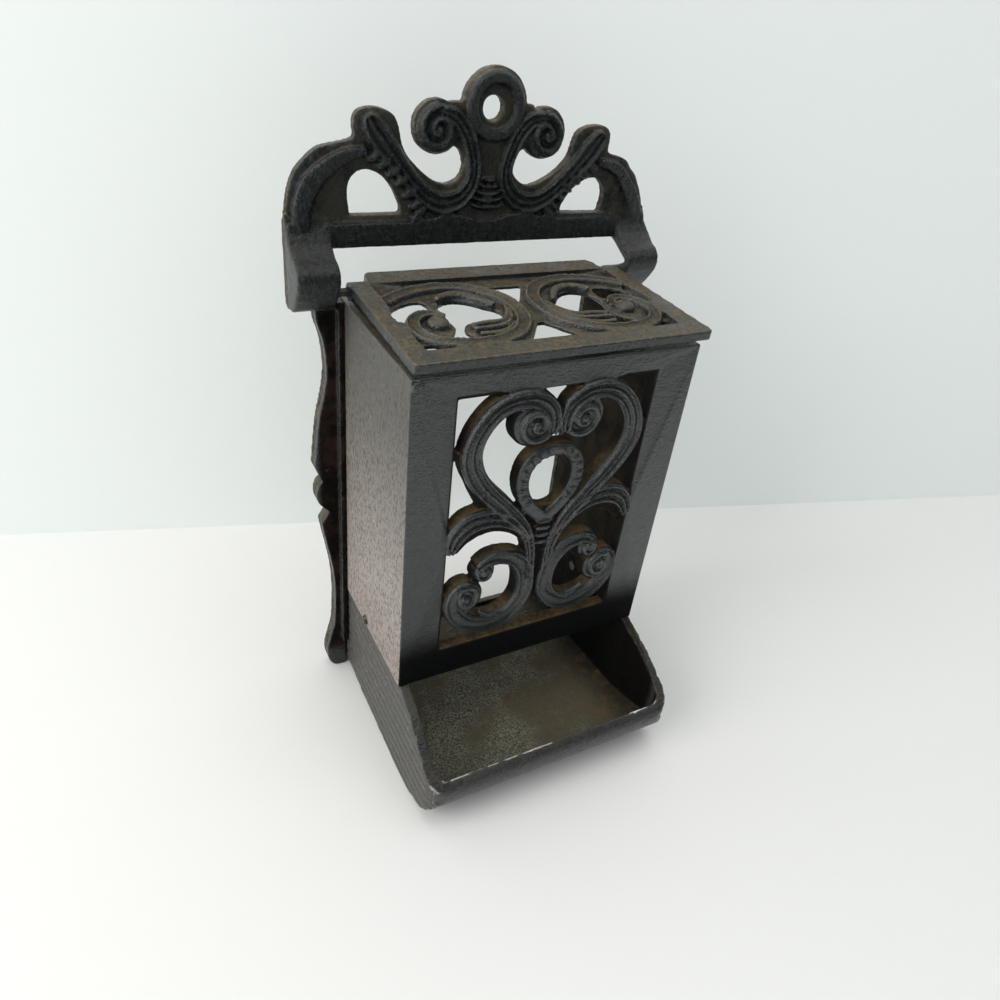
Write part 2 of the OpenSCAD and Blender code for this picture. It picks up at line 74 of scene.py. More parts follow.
# %% [markdown]
# ## Camera
#
# The holder was photographed from close by, above and to its left, with a wide lens.
# A close camera gives strong perspective, so both its place and its lens matter.

# %% Camera
camera_data = bpy.data.cameras.new("camera")
camera_data.sensor_width = 36
camera_data.lens = 27.71
camera_data.clip_start = 0.01
camera = bpy.data.objects.new("camera", camera_data)
camera.location = (-0.0934, -0.1431, 0.1911)
camera.rotation_euler = Euler([math.radians(a) for a in (55.899, -5.825, -27.460)])
scene.collection.objects.link(camera)
scene.camera = camera
print("camera at", camera.location, "lens", camera_data.lens)

# %% [markdown]
# ## Helpers for modelling
#
# Operators act on all that is selected, so one helper selects only the objects it is given
# and makes the first of them active. Another applies a modifier as soon as it is added. A
# third copies a CAD node and merges the double corners that its faces share.


# %% Modelling helpers
def only(*objects):
    bpy.ops.object.select_all(action="DESELECT")
    for obj in objects:
        obj.select_set(True)
    bpy.context.view_layer.objects.active = objects[0]


def modify(obj, kind, **settings):
    only(obj)
    bpy.ops.object.modifier_add(type=kind)
    modifier = obj.modifiers[-1]
    for key, value in settings.items():
        setattr(modifier, key, value)
    bpy.ops.object.modifier_apply(modifier=modifier.name)


def copy_of(node, name):
    only(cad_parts[node])
    bpy.ops.object.duplicate()
    piece = bpy.context.active_object
    piece.name = piece.data.name = name
    piece.parent = None
    piece.hide_render = False
    bpy.ops.object.mode_set(mode="EDIT")
    bpy.ops.mesh.select_all(action="SELECT")
    bpy.ops.mesh.remove_doubles(threshold=0.000002)
    bpy.ops.object.mode_set(mode="OBJECT")
    piece.data.materials.clear()
    return piece


def join(first, *others):
    only(first, *others)
    bpy.ops.object.join()
    return bpy.context.active_object


# %% [markdown]
# ## From a machined solid to a casting
#
# The CAD solids have crisp edges. Sand casting rounds every edge a little and leaves the
# surface faintly uneven. A voxel remesh turns the whole piece into an even net of small
# faces, smoothing rounds it, and a displacement with a cloud pattern makes it uneven.
# Thinning then merges faces where the surface is flat, and weighted normals keep it even.


# %% Casting
def cloud(name, size):
    texture = bpy.data.textures.new(name, "CLOUDS")
    texture.noise_scale = size
    texture.noise_depth = 2
    return texture


uneven = cloud("uneven skin", 0.0045)
sandy = cloud("sandy skin", 0.0012)


def cast(piece, voxel, swell):
    modify(piece, "REMESH", mode="VOXEL", voxel_size=voxel, adaptivity=0)
    modify(piece, "SMOOTH", factor=0.5, iterations=1)
    modify(piece, "DISPLACE", texture=uneven, texture_coords="LOCAL", strength=swell, mid_level=0.5)
    modify(piece, "DISPLACE", texture=sandy, texture_coords="LOCAL", strength=swell / 2, mid_level=0.5)


def thin_out(piece, most):
    triangles = 2 * len(piece.data.polygons)
    if triangles > most:
        modify(piece, "DECIMATE", ratio=most / triangles)
    only(piece)
    bpy.ops.object.shade_smooth()
    modify(piece, "WEIGHTED_NORMAL", mode="FACE_AREA", weight=70)
    print(piece.name, len(piece.data.polygons), "faces")


def soften(piece, inside, times):
    group = piece.vertex_groups.new(name="soft")
    group.add([v.index for v in piece.data.vertices if inside(v.co / MM)], 1.0, "REPLACE")
    modify(piece, "SMOOTH", factor=0.5, iterations=times, vertex_group="soft")
    piece.vertex_groups.clear()


# %% [markdown]
# ## Raised scrollwork
#
# The scrolls are rounded bands with finer ridges along them, which swell and taper as they
# run. Each is swept here: a cross-section is carried along a smooth path, and its width
# follows a list. The drawings are the CAD's own, in millimetres, so bands lie on the solids.


# %% Paths
def smooth_path(points, steps=4):
    points = [Vector(p) for p in points]
    last = len(points) - 1
    path = []
    for i in range(last):
        a, b, c, d = points[max(i - 1, 0)], points[i], points[i + 1], points[min(i + 2, last)]
        for k in range(steps):
            t = k / steps
            square, cube = 2 * a - 5 * b + 4 * c - d, 3 * b - a - 3 * c + d
            path.append(0.5 * (2 * b + (c - a) * t + square * t**2 + cube * t**3))
    return path + [points[last]]


def spiral_path(centre, start, end, turn_from, turn_to, steps=48):
    path = []
    for i in range(steps + 1):
        t = i / steps
        angle = math.radians(turn_from + (turn_to - turn_from) * t)
        radius = start + (end - start) * t
        path.append(Vector((centre[0] + radius * math.cos(angle), centre[1] + radius * math.sin(angle))))
    return path


def along(values, t):
    place = t * (len(values) - 1)
    i = min(int(place), max(len(values) - 2, 0))
    return values[i] + (values[min(i + 1, len(values) - 1)] - values[i]) * (place - i)


# %% [markdown]
# A cross-section lists places across the band, from -1 to 1, with a height in millimetres.
# Scrolls carry a ridge near each edge and a low one between, leaves three equal ribs, and
# rings and plain ribs are simpler. The bottom corners lie inside the casting.

# %% Cross-sections
def even(half, top):
    return half + [top] + [(-u, h) for u, h in reversed(half)]


SCROLL = even([(-1, -0.9), (-0.94, 0.3), (-0.72, 1.15), (-0.45, 0.0), (-0.25, 0.05)], (0, 0.75))
LEAF = even([(-1, -0.9), (-0.95, 0.1), (-0.7, 1.05), (-0.36, -0.2)], (0, 1.15))
RING = even([(-1, -0.9), (-0.93, 0.35), (-0.7, 1.2), (-0.38, 0.1)], (0, -0.15))
ROUND = even([(-1, -0.9), (-0.86, 0.35), (-0.5, 0.9)], (0, 1.1))
BROAD = [(-1, -0.9), (-0.95, 0.7), (-0.75, 1.05), (0, 1.1), (0.75, 1.0), (0.92, 0.5), (1, -0.9)]
print("corners of each section:", len(SCROLL), len(LEAF), len(RING), len(ROUND), len(BROAD))


# %% Sweeping a band
def new_piece(name, corners, faces):
    mesh = bpy.data.meshes.new(name)
    mesh.from_pydata(corners, [], faces)
    obj = bpy.data.objects.new(name, mesh)
    scene.collection.objects.link(obj)
    only(obj)
    bpy.ops.object.mode_set(mode="EDIT")
    bpy.ops.mesh.select_all(action="SELECT")
    bpy.ops.mesh.normals_make_consistent(inside=False)
    bpy.ops.object.mode_set(mode="OBJECT")
    return obj


def band(path, widths, section, put, height=1.0, rise=(0.0, 0.0)):
    corners, faces, n = [], [], len(section)
    for i, p in enumerate(path):
        run = (path[min(i + 1, len(path) - 1)] - path[max(i - 1, 0)]).normalized()
        t = i / (len(path) - 1)
        width = along(widths, t)
        for u, h in section:
            corners.append(put(p.x - run.y * u * width, p.y + run.x * u * width, h * height + along(rise, t)))
    for i in range(len(path) - 1):
        for k in range(n):
            a, b = i * n + k, i * n + (k + 1) % n
            faces.append((a, b, b + n, a + n))
    faces += [tuple(range(n)), tuple(reversed(range(len(corners) - n, len(corners))))]
    return new_piece("band", corners, faces)


def bead(x, y, long, wide, high, angle, put):
    bpy.ops.object.select_all(action="DESELECT")
    bpy.ops.mesh.primitive_uv_sphere_add(segments=20, ring_count=12, radius=1)
    obj = bpy.context.active_object
    c, s = math.cos(math.radians(angle)), math.sin(math.radians(angle))
    for v in obj.data.vertices:
        a, b, h = v.co.x * long, v.co.y * wide, v.co.z * high
        v.co = put(x + a * c - b * s, y + a * s + b * c, h)
    return obj


# %% [markdown]
# A drawing is laid on its casting by a matrix: the drawing's x and y run along the face and
# its height stands out of it. The CAD's own ridges have square edges, so they are pressed
# flat in a copy before the swept bands are joined on.

# %% Laying drawings on the castings
PANEL = Matrix.Translation((0, PANEL_Y, PANEL_FOOT)) @ Matrix.Rotation(math.pi / 2, 4, "X")
CREST = Matrix.Translation((0, CREST_Y, BAR_Z)) @ Matrix.Rotation(math.pi / 2, 4, "X")
LID = Matrix.Translation((LID_PLAY * MM, *HINGE[1:])) @ Matrix.Rotation(math.radians(LID_SLOPE), 4, "X")
LID = LID @ Matrix.Translation((0, 0, 1.35 * MM))


def drawn_on(face, side=1, at=(0, 0), bend=None):
    def put(x, y, h):
        if bend:
            x, y = bend(x, y)
        return face @ (Vector((side * (at[0] + x), at[1] + y, h)) * MM)

    return put


def press_flat(piece, face, low, high, level):
    back = face.inverted()
    for v in piece.data.vertices:
        p = back @ v.co / MM
        margin = 0.3 if p.z < 0.1 else 0
        inside = low[0] - margin < p.x < high[0] + margin and low[1] - margin < p.y < high[1] + margin
        if inside and p.z > level:
            v.co = face @ (Vector((p.x, p.y, level)) * MM)


# %% [markdown]
# ## Front scrollwork
#
# Two large scrolls end in rolled volutes, above two rings that end in a curl and an eye.
# Between them are leaves with three ribs and an egg-shaped ring notched like a rope.

# %% Front drawing
SCROLLS = [(1.9, 71.4), (1.6, 75), (3, 78.6), (6.6, 81), (11.2, 81.5), (15.8, 80.2), (19.3, 77), (21.7, 72.6),
    (22.3, 67.6), (20.2, 62), (16.4, 57), (12, 52.4), (7.8, 47.6), (4.8, 43), (3.1, 38), (2.4, 33), (1.9, 28)]
SCROLL_WIDTHS = [1.4, 1.9, 2.3, 2.4, 2.4, 2.5, 2.5, 2.6, 2.9, 2.7, 2.6, 2.5, 2.3, 1.9, 1.5, 1.3, 1.2]
LEAVES = [(4, 41), (7.5, 45.6), (12, 49), (17, 50.3), (21.5, 49.4), (24.6, 46.4), (26.2, 42)]
LEAF_WIDTHS = [1, 1.5, 2.3, 3, 3.2, 2.6, 1.2]
RINGS = [(17.6, 35.2), (15, 36.9), (11.2, 37), (7.2, 35.5), (4.3, 32), (3.1, 27.5), (3.4, 22.6), (5.9, 18.3),
    (10.2, 15.5), (15.2, 15.5), (19.9, 17.6), (23.2, 21.4), (24.2, 26), (22.6, 29.8), (19.4, 30.6)]
RING_WIDTHS = [1.2, 1.7, 2, 2.4, 2.7, 2.8, 2.8, 2.8, 2.9, 2.9, 2.7, 2.6, 2.3, 1.7, 1]
EGG = [(0, 66.9), (4.1, 66), (7, 62.8), (7.8, 58.4), (6.7, 54), (4.1, 50.2), (0, 46.4)]


def volute(centre, radius, start, turn_from, turn_to, thick, high, put):
    disc = bead(*centre, radius, radius, 0.35 * high, 0, put)
    path = spiral_path(centre, start, thick, turn_from, turn_to)
    coil = band(path, [thick, thick, 0.7 * thick], ROUND, put, 1, (0.1 * high, high))
    eye = bead(*centre, 1.3 * thick, 1.3 * thick, high + 0.9, 0, put)
    return [disc, coil, eye]


def front_scrollwork():
    parts = []
    for side in (-1, 1):
        put = drawn_on(PANEL, side)
        parts += [
            band(smooth_path(SCROLLS), SCROLL_WIDTHS, SCROLL, put),
            band(smooth_path(LEAVES), LEAF_WIDTHS, LEAF, put),
            band(smooth_path(RINGS), RING_WIDTHS, RING, put),
            band(smooth_path(EGG), [1.9], ROUND, put, 0.6),
            band(spiral_path((11, 25.2), 7.1, 7.1, 200, 318, 14), [0.4, 0.7, 0.7, 0.5], ROUND, put, 0.7),
        ]
        parts += volute((6.5, 74.7), 5.9, 4.8, 215, 690, 1.0, 0.8, put)
        parts += volute((15.7, 33.2), 3.1, 2.3, 40, -400, 0.65, 0.6, put)
        parts += volute((20.6, 26), 5.1, 4.0, 60, 420, 1.05, 0.8, put)
        for i in range(1, 9):
            a = math.radians(90 - 17 * i)
            parts.append(bead(8.0 * math.cos(a), 58.6 + 8.0 * math.sin(a), 1.4, 0.6, 1.3, 114 - 17 * i, put))
    for i in range(4):
        parts.append(bead(0, 46.1 - 2.2 * i, 2.7 - 0.2 * i, 0.65, 1.2, 0, drawn_on(PANEL)))
    return parts


# %% [markdown]
# ## Crest scrollwork
#
# The crest is flatter. Its ridges follow the edge, roll up beside the hanging loop and drop
# in a rope of beads. The real casting sagged a little on its right, and so do the ridges.

# %% Crest drawing
NECKS = [(13.4, 29.6), (9.9, 28.5), (6.9, 25.3), (5, 21), (4.3, 16.8), (5.2, 13.2), (8, 10.3), (11.8, 9.4),
    (15.3, 10.5), (18.7, 13.1), (22.2, 16.8), (25.4, 20.6), (28.3, 24.2), (30.4, 27.1), (31.1, 28.3)]
NECK_WIDTHS = [1.2, 1.7, 2.0, 1.9, 1.7, 2.0, 2.4, 2.6, 2.4, 2.1, 2.2, 2.7, 3.1, 2.2, 0.5]
SHOULDERS = [(46.6, 3.6), (46.4, 8.8), (44.2, 14.2), (39.9, 18), (35.9, 20.2), (31.6, 21.2)]
ROPES = [(31.6, 20.2), (28.4, 18.6), (25.4, 16.4), (22.6, 13.4), (20, 9.8), (18.3, 7.4)]


def share(value, start, length):
    return max(0, min(1, (value - start) / length))


def sagged(x, y):
    up = min(1, y / 15)
    drop = 2.2 * min(share(x, 8, 17), share(51 - x, 0, 6)) * up
    return x + 0.5 * share(y, 16, 6) - 2.4 * share(x, 38, 7) * up, y - drop


def crest_scrollwork():
    parts = [band(spiral_path((0.4, 31), 6.2, 6.2, 0, 360), [1.5], ROUND, drawn_on(CREST), 0.85)]
    for side in (-1, 1):
        put = drawn_on(CREST, side, bend=sagged if side > 0 else None)
        parts.append(band(smooth_path(NECKS), NECK_WIDTHS, SCROLL, put, 0.95))
        parts.append(band(smooth_path(SHOULDERS), [1.7, 2.3, 2.4, 1.9, 1.4, 0.9], BROAD, put, 0.95))
        parts += volute((14.1, 25.9), 5.4, 4.7, 90, -470, 0.8, 0.7, put)
        rope = smooth_path(ROPES)
        for i in range(7):
            p = rope[min(2 + 3 * i, len(rope) - 1)]
            parts.append(bead(p.x - 0.5, p.y + 0.4, 1.9, 1.0, 1.1, -20 - 3 * i, put))
    for i in range(5):
        w = 1.4 + 0.75 * i
        arc = spiral_path((0, 15 - 1.6 * i + 3 * w), 3 * w + 0.2, 3 * w + 0.2, 250, 290, 8)
        parts.append(band(arc, [0.3, 0.75, 0.3], ROUND, drawn_on(CREST), 0.9))
    return parts


# %% [markdown]
# ## Lid scrollwork
#
# Two coiled bands lie in the lid like the figure 8 on its side. Each holds a thick hook, a
# round knob and a fan of three ribs.

# %% Lid drawing
COILS = [(15.8, 8.6), (12, 11.3), (6.2, 13.8), (0, 14.7), (-6.2, 13.5), (-11, 10.2), (-14, 5.2),
    (-14.6, -0.5), (-13.1, -6.2), (-9.6, -10.9), (-4.5, -13.8), (1.5, -14.6), (7, -13.9), (11.2, -11.8),
    (13.5, -8.2), (13.7, -4), (12.1, -0.8), (9.4, 1), (6.7, 0.6), (5.2, -1.2)]
COIL_WIDTHS = [1.8, 2] + [2.1] * 11 + [2, 1.9, 1.9, 1.8, 1.7, 1.5, 1.2]
HOOKS = [(3.6, 7), (1.6, 9.2), (-2.1, 10.1), (-5.6, 8.6), (-8, 5.4), (-9.8, 2.6)]
FANS = [
    [(0.6, -6.4), (-3.6, -5.6), (-8, -5.2), (-11, -1.4), (-12.2, 2.6)],
    [(0.8, -8.2), (-3.6, -8), (-7.8, -7.2), (-10.9, -4), (-12.2, -0.2)],
    [(0.4, -10.6), (-3.4, -10.8), (-7.4, -9.6), (-10.3, -6.8)],
]


def lid_scrollwork():
    parts = []
    for side in (-1, 1):
        put = drawn_on(LID, side, (17.9, -19.3))
        parts.append(band(smooth_path(COILS), COIL_WIDTHS, RING, put, 0.95))
        parts.append(band(smooth_path(HOOKS), [0.8, 1.3, 1.3, 0.8], ROUND, put, 1.1))
        parts.append(bead(7.6, -3.8, 2.7, 2.7, 1.7, 0, put))
        for ray in FANS:
            parts.append(band(smooth_path(ray), [0.8, 0.8, 0.7, 0.4], ROUND, put, 0.85))
    return parts


# %% [markdown]
# ## Shader maths as Python
#
# One small class wraps a socket, so that masks can be added and multiplied in plain
# expressions. Every other node comes from one method that takes its type, settings and inputs.


# %% Socket class
class Sock:
    def __init__(self, nodes, socket):
        self.nodes, self.socket = nodes, socket

    def math(self, kind, *values):
        return self.nodes.add("Math", {"operation": kind}, dict(enumerate(values)))

    def __add__(self, other):
        return self.math("ADD", self, other)

    def __mul__(self, other):
        return self.math("MULTIPLY", self, other)

    def __rsub__(self, other):
        return self.math("SUBTRACT", other, self)

    __radd__ = __add__
    __rmul__ = __mul__

    def magnitude(self):
        return self.math("ABSOLUTE", self)

    def capped(self):
        return self.math("MINIMUM", self, 1.0)

    def ramp(self, low, high):
        settings = {"clamp": True, "interpolation_type": "SMOOTHSTEP"}
        return self.nodes.add("MapRange", settings, {0: self, 1: low, 2: high})


class Finish:
    def __init__(self, name):
        self.material = bpy.data.materials.new(name)
        self.material.use_nodes = True
        self.tree = self.material.node_tree
        self.shader = self.tree.nodes["Principled BSDF"]

    def add(self, kind, settings=None, inputs=None, out=0):
        node = self.tree.nodes.new("ShaderNode" + kind)
        for key, value in (settings or {}).items():
            setattr(node, key, value)
        for key, value in (inputs or {}).items():
            self.feed(node.inputs[key], value)
        return Sock(self, node.outputs[out])

    def feed(self, socket, value):
        if isinstance(value, Sock):
            self.tree.links.new(value.socket, socket)
        else:
            socket.default_value = value

    def set(self, **inputs):
        for key, value in inputs.items():
            self.feed(self.shader.inputs[key.replace("_", " ")], value)

    def mix(self, factor, a, b):
        settings = {"data_type": "RGBA", "clamp_factor": True}
        return self.add("Mix", settings, {0: factor, 6: a, 7: b}, 2)

    def where(self):
        return self.add("TexCoord", out="Object")

    def noise(self, place, size, detail=3.0, rough=0.5, stretch=None):
        if stretch:
            place = self.add("Mapping", None, {0: place, 3: stretch})
        inputs = {"Vector": place, "Scale": 1 / size, "Detail": detail, "Roughness": rough}
        return self.add("TexNoise", None, inputs, "Fac")

def linear(c):
    return c / 255 / 12.92 if c <= 10 else ((c / 255 + 0.055) / 1.055) ** 2.4


def srgb(r, g, b):
    return linear(r), linear(g), linear(b), 1


# %% [markdown]
# ## Painted cast iron
#
# The paint is near black, and its gloss makes broad faces look grey where they mirror the
# pale table. Brown dust and rust settle on faces that look up, and high edges are rubbed
# lighter. Hollows, which Pointiness finds, are painted darker: painted shade, with some dirt.
# Fine grain comes from bump. Dirt has no gloss, so a second, dull shader is mixed in where it lies.


# %% Cast iron
class Iron(Finish):
    def __init__(self, name):
        super().__init__(name)
        self.place = self.where()
        self.x, self.y, self.z = (v * 1000 for v in self.parts_of(self.place))
        self.nx, self.ny, self.nz = self.parts_of(self.add("TexCoord", out="Normal"))
        point = self.add("NewGeometry", out="Pointiness")
        self.edge, self.hollow = point.ramp(0.508, 0.57), point.ramp(0.492, 0.43)
        self.patch = self.noise(self.place, 0.007, 5, 0.65)
        self.fine = self.noise(self.place, 0.0012, 5, 0.7)
        self.grit = self.noise(self.place, 0.0005, 2, 0.6)
        self.up = self.nz.ramp(0.25, 0.85)

    def parts_of(self, vector):
        split = self.add("SeparateXYZ", None, {0: vector}, "X")
        return [Sock(self, split.socket.node.outputs[axis]) for axis in "XYZ"]

    def between(self, value, low, high, soft=0.6):
        return value.ramp(low - soft, low) * value.ramp(high + soft, high)

    def settle(self, colour, dust, amount):
        self.cover = self.up * (0.3 + 0.7 * self.patch.ramp(0.3, 0.62)) * amount
        dark_dust = tuple(0.45 * c for c in dust[:3]) + (1,)
        return self.mix(self.cover, colour, self.mix(self.fine.ramp(0.35, 0.65), dust, dark_dust))

    # Painted shade: hollows, found by Pointiness, are darkened towards a near-black colour, with some dirt.
    def shade_and_dirt_in_hollows(self, colour, dark, amount):
        return self.mix(self.hollow * amount, colour, dark)

    def wear(self, colour, bright, amount):
        return self.mix(self.edge * self.fine.ramp(0.45, 0.7) * amount, colour, bright)

    def rust(self, colour, where, amount):
        spot = self.noise(self.place, 0.005, 5, 0.7).ramp(0.5, 0.68)
        tone = self.mix(self.fine.ramp(0.4, 0.6), srgb(84, 54, 34), srgb(122, 92, 62))
        return self.mix(spot * where * amount, colour, tone)

    def done(self, colour, gloss, grain, level, matt):
        rough = gloss + 0.08 * self.patch.ramp(0.3, 0.7)
        height = self.fine * 0.8 + self.grit * 0.5 + self.patch * 0.8
        bump = self.add("Bump", None, {"Strength": grain, "Distance": 0.0005, "Height": height}, "Normal")
        self.set(Base_Color=colour, Roughness=rough, Normal=bump, Specular_IOR_Level=level)
        dull = {"Base Color": colour, "Roughness": 0.8, "Normal": bump, "Specular IOR Level": 0.12}
        dull = self.add("BsdfPrincipled", None, dull, "BSDF")
        gloss_and_dull = {0: matt.capped(), 1: Sock(self, self.shader.outputs["BSDF"]), 2: dull}
        surface = self.add("MixShader", None, gloss_and_dull, "Shader")
        self.feed(self.tree.nodes["Material Output"].inputs["Surface"], surface)
        return self.material


# %% [markdown]
# The crest is the blackest, with a blue-green cast in the gloss. The fronts of the flanges are
# painted near black as painted shade. Their top edges are brown grey with dust and rust, and
# their narrow sides are bare in places and painted light brown grey as painted light from the side.

# %% Black iron of the back
def back_iron_finish():
    f = Iron("black iron")
    # Light flecks on the crest's grain: partly grain, partly painted glints of its gloss.
    grain_glints = f.grit.ramp(0.45, 0.75)
    colour = f.mix(f.fine.ramp(0.4, 0.7) * 0.55 + grain_glints * 0.35, srgb(9, 14, 14), srgb(44, 55, 55))
    edges = (f.y.ramp(33.2, 34.0) + 0.15 * f.z.ramp(141, 138)).capped()
    # Painted light: faces behind the crest's front that look to the side are painted light brown grey for the
    # light they catch, with some bare iron.
    lit_sides = f.nx.magnitude().ramp(0.45, 0.9) * edges
    bare_and_lit_grey = f.mix(f.fine.ramp(0.35, 0.65), srgb(58, 54, 49), srgb(112, 106, 97))
    colour = f.mix(lit_sides * (0.5 + 0.4 * f.patch.ramp(0.3, 0.6)), colour, bare_and_lit_grey)
    # Painted shade: the flange fronts, in shadow between their rims and the box walls, are painted near black
    # with a red-brown tint.
    flange = f.between(f.z, 10, 122, 4) * f.ny.ramp(-0.5, -0.8) * f.x.magnitude().ramp(45.5, 44)
    flange_shade = f.mix(f.patch.ramp(0.45, 0.65), srgb(9, 4, 3), srgb(42, 26, 20))
    colour = f.mix(flange * 0.95, colour, flange_shade)
    sunk = f.between(f.y, 33.6, 34.3, 0.2) * f.ny.ramp(-0.7, -0.9)
    colour = f.mix(sunk * f.patch.ramp(0.3, 0.55) * 0.7, colour, srgb(52, 50, 40))
    colour = f.settle(colour, srgb(126, 118, 104), 0.95 * edges)
    colour = f.rust(colour, (f.up * 0.9 + lit_sides * 0.3) * edges, 0.7)
    colour = f.shade_and_dirt_in_hollows(colour, srgb(5, 5, 5), 0.9)
    colour = f.wear(colour, srgb(96, 110, 108), 0.3)
    matt = 0.7 * f.cover + f.hollow + flange + 0.5 * sunk + lit_sides
    return f.done(colour, 0.24, 1.0, 0.55, matt)


back_iron = back_iron_finish()

# %% [markdown]
# The box has a smoother, slate-coloured front, whose lower rail is painted near black as a
# painted reflection of the dark tray. Its two side walls are bare iron, painted light grey as
# painted light from the left and lighter towards the bottom as a painted reflection of the table
# with some dust, with fine upright dark flecks, and the pierced front keeps brown dirt on its ledges.

# %% Slate iron of the box
def box_iron_finish():
    f = Iron("slate iron")
    speckle = f.fine.ramp(0.4, 0.7) * 0.4 + f.grit.ramp(0.5, 0.8) * 0.3
    colour = f.mix(speckle, srgb(19, 25, 26), srgb(46, 54, 54))
    # Painted reflection: the front is painted near black towards its lower rail, for the dark tray that its
    # gloss mirrors.
    colour = f.mix(f.z.ramp(52, 42) * 0.95, colour, srgb(2, 3, 4))
    wide = f.x.magnitude()
    # Painted light: the side walls are painted light grey for the light from the left, lighter towards the
    # bottom as a painted reflection of the table with some dust.
    side = wide.ramp(37.0, 37.4) * f.nx.magnitude().ramp(0.5, 0.9)
    flecks = f.noise(f.place, 0.0006, 4, 0.7, (1, 1, 0.45)).ramp(0.58, 0.5)
    wall = f.mix(f.z.ramp(122, 50), srgb(84, 82, 78), srgb(150, 142, 136))
    wall = f.mix(0.35 + 0.65 * flecks, srgb(58, 56, 52), wall)
    colour = f.mix(side * 0.97, colour, wall)
    pierced = f.between(f.y, -12.0, -8.4, 0.3) * f.between(wide, 0, 26.7) * f.between(f.z, 42, 117)
    colour = f.mix(pierced * (0.6 + 0.4 * f.patch.ramp(0.35, 0.6)), colour, srgb(27, 22, 16))
    within = f.y.ramp(-8.8, -8.2) * wide.ramp(36.6, 36.0)
    brown = f.mix(f.patch.ramp(0.35, 0.65), srgb(26, 23, 18), srgb(52, 44, 33))
    colour = f.mix(within, colour, brown)
    ledges = (pierced + 0.5 * f.y.ramp(-12.0, -11.0)).capped()
    colour = f.settle(colour, srgb(108, 94, 68), 0.9 * ledges)
    colour = f.rust(colour, f.up * pierced, 0.8)
    colour = f.shade_and_dirt_in_hollows(colour, srgb(9, 8, 6), 0.9)
    colour = f.wear(colour, srgb(112, 118, 115), 0.25)
    matt = pierced + within + 0.6 * side + f.hollow + f.z.ramp(54, 40)
    return f.done(colour, 0.2, 0.7, 1.0, matt)


front_iron = box_iron_finish()

# %% [markdown]
# The tray's floor is grainy and brown with lighter specks, its inside is painted nearly black
# towards the right wall as painted shade, its outer sides are painted light grey as painted
# light, and its rim is glossy with small pale chips along the front.

# %% Worn iron of the tray
def tray_iron_finish():
    f = Iron("tray iron")
    colour = f.mix(f.fine.ramp(0.4, 0.7) * 0.5, srgb(18, 20, 21), srgb(38, 41, 41))
    inside = f.between(f.x, -34.8, 37, 0.8) * f.y.ramp(-33.6, -32.8)
    floor = inside * f.nz.ramp(0.5, 0.9)
    sand = f.mix(f.grit.ramp(0.35, 0.7), srgb(58, 58, 50), srgb(146, 144, 126))
    sand = f.mix(f.noise(f.place, 0.02, 4, 0.6).ramp(0.4, 0.62), sand, srgb(88, 80, 64))
    colour = f.mix(floor * 0.9, colour, sand)
    # Painted shade: the inside darkens to near black towards the right wall.
    colour = f.mix(inside * f.x.ramp(22, 36) * 0.93, colour, srgb(8, 6, 5))
    colour = f.rust(colour, inside * f.x.ramp(5, 30) * f.up, 0.6)
    # Painted light: the tray's outer sides are painted light grey for the light from the left.
    lit_outer_sides = f.nx.magnitude().ramp(0.3, 0.8) * (1 - inside)
    colour = f.mix(lit_outer_sides * (0.6 + 0.3 * f.patch), colour, srgb(84, 82, 77))
    colour = f.settle(colour, srgb(84, 78, 64), 0.35)
    colour = f.shade_and_dirt_in_hollows(colour, srgb(8, 7, 6), 0.9)
    colour = f.wear(colour, srgb(120, 124, 122), 0.4)
    chips = f.noise(f.place, 0.004, 3, 0.6, (0.35, 1, 1)).ramp(0.48, 0.52)
    colour = f.mix(f.y.ramp(-33.2, -34.2) * f.edge * chips, colour, srgb(215, 215, 210))
    matt = inside + 0.5 * lit_outer_sides + 0.7 * f.hollow
    return f.done(colour, 0.22, 0.9, 0.8, matt)


tray_iron = tray_iron_finish()

# %% [markdown]
# The lid lies flat, so dust has dulled its whole top to brown grey, lighter on the rounded
# ridges, and its hollows are painted dark as painted shade with some dirt. Only its front edge still shows
# black gloss.

# %% Dusty iron of the lid
def lid_iron_finish():
    f = Iron("lid iron")
    colour = f.mix(f.fine.ramp(0.4, 0.7) * 0.5, srgb(24, 30, 30), srgb(46, 54, 53))
    colour = f.settle(colour, srgb(102, 93, 76), 1.0)
    colour = f.rust(colour, f.up, 0.3)
    colour = f.shade_and_dirt_in_hollows(colour, srgb(26, 22, 16), 0.85)
    colour = f.wear(colour, srgb(164, 154, 132), 0.8 * f.up)
    return f.done(colour, 0.22, 0.9, 0.9, 0.8 * f.cover + f.hollow)


lid_iron = lid_iron_finish()


# %% [markdown]
# ## Rod and rivets
#
# The hinge rod and the rivets are plain steel, dulled by age: darker, smoother and more
# metallic than the castings.


# %% Dull steel
def dull_steel():
    f = Finish("dull steel")
    place = f.where()
    patch = f.noise(place, 0.002, 4, 0.6)
    colour = f.mix(patch.ramp(0.35, 0.65), srgb(88, 84, 78), srgb(52, 46, 40))
    bump = f.add("Bump", None, {"Strength": 0.3, "Distance": 0.0002, "Height": patch}, "Normal")
    f.set(Base_Color=colour, Roughness=0.35 + 0.25 * patch, Normal=bump, Metallic=0.55 + 0.2 * patch)
    return f.material


steel = dull_steel()

# %% [markdown]
# ## The castings
#
# Each casting starts as a copy of its CAD node, so it sits where the solids are. Its square
# ridges are pressed flat, the swept bands are joined on, and it goes through the casting
# steps above. The remesh welds everything into one skin. Three corrections go with it: the
# right shoulder is trimmed to the sagged outline of the crest, the bent ears are rounded
# more than the rest, and the grooves between the tray's reeds are cut deeper.

